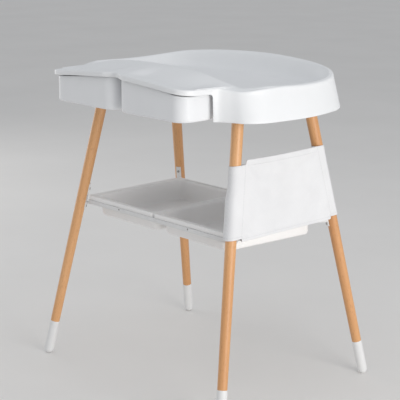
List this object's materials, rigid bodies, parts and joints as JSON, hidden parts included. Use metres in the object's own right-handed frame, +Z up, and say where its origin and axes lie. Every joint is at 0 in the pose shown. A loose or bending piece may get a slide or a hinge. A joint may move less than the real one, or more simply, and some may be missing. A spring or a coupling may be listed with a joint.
{
  "type": "changing table",
  "caption": "Baby changing table with a moulded basin top, front drawers under two wings, splayed wooden legs, a shelf of lift-out bins and a side pocket.",
  "frame": {"origin": "on the floor, under the middle of the table's overall box", "axes": "+Z up, -Y towards the front with the drawers, +X towards the side with the fabric pocket"},
  "size_m": [0.818, 0.6591, 0.941],
  "materials": {
    "shell_plastic": "satin moulded white plastic",
    "drawer_plastic": "fine-textured moulded white plastic",
    "bin_plastic": "moulded white plastic",
    "cap_plastic": "moulded white plastic",
    "beech": "clear satin lacquer on beech",
    "white_metal": "white powder coat",
    "frame_steel": "grey powder coat",
    "fastener_steel": "zinc plated",
    "pocket_fabric": "white woven cotton canvas"
  },
  "bodies": {
    "root": {"top_shell": "shell_plastic", "frame_front_rail": "frame_steel", "frame_back_rail": "frame_steel", "frame_left_rail": "frame_steel", "frame_right_rail": "frame_steel", "bay_panel": "shell_plastic", "shell_screws": "fastener_steel", "socket_screws": "fastener_steel", "leg_socket_front_left": "frame_steel", "leg_socket_front_right": "frame_steel", "leg_socket_back_left": "frame_steel", "leg_socket_back_right": "frame_steel", "leg_front_left": "beech", "leg_front_right": "beech", "leg_back_left": "beech", "leg_back_right": "beech", "leg_bolts": "fastener_steel", "foot_cap_front_left": "cap_plastic", "foot_cap_front_right": "cap_plastic", "foot_cap_back_left": "cap_plastic", "foot_cap_back_right": "cap_plastic", "drawer_runner_left": "frame_steel", "drawer_runner_right": "frame_steel", "shelf_bracket_front_left": "white_metal", "shelf_bracket_front_right": "white_metal", "shelf_bracket_back_left": "white_metal", "shelf_bracket_back_right": "white_metal", "shelf_rail_front": "white_metal", "shelf_rail_back": "white_metal", "shelf_rail_left": "white_metal", "shelf_rail_right": "white_metal", "shelf_rail_centre": "white_metal", "bracket_screws": "fastener_steel", "shelf_screws": "fastener_steel", "pocket_sleeve_front": "pocket_fabric", "pocket_sleeve_back": "pocket_fabric", "pocket_outer_panel": "pocket_fabric", "pocket_inner_panel": "pocket_fabric", "pocket_bottom": "pocket_fabric"},
    "drawer_left": {"drawer_left": "drawer_plastic"},
    "drawer_right": {"drawer_right": "drawer_plastic"},
    "bin_left": {"bin_left": "bin_plastic"},
    "bin_right": {"bin_right": "bin_plastic"}
  },
  "joints": [
    {"name": "drawer_left_slide", "type": "slide", "parent": "root", "child": "drawer_left", "axis": [0, -1, 0], "range_m": [0, 0.1]},
    {"name": "drawer_right_slide", "type": "slide", "parent": "root", "child": "drawer_right", "axis": [0, -1, 0], "range_m": [0, 0.1]},
    {"name": "bin_left_lift", "type": "slide", "parent": "root", "child": "bin_left", "axis": [0, 0, 1], "range_m": [0, 0.04]},
    {"name": "bin_right_lift", "type": "slide", "parent": "root", "child": "bin_right", "axis": [0, 0, 1], "range_m": [0, 0.04]}
  ]
}
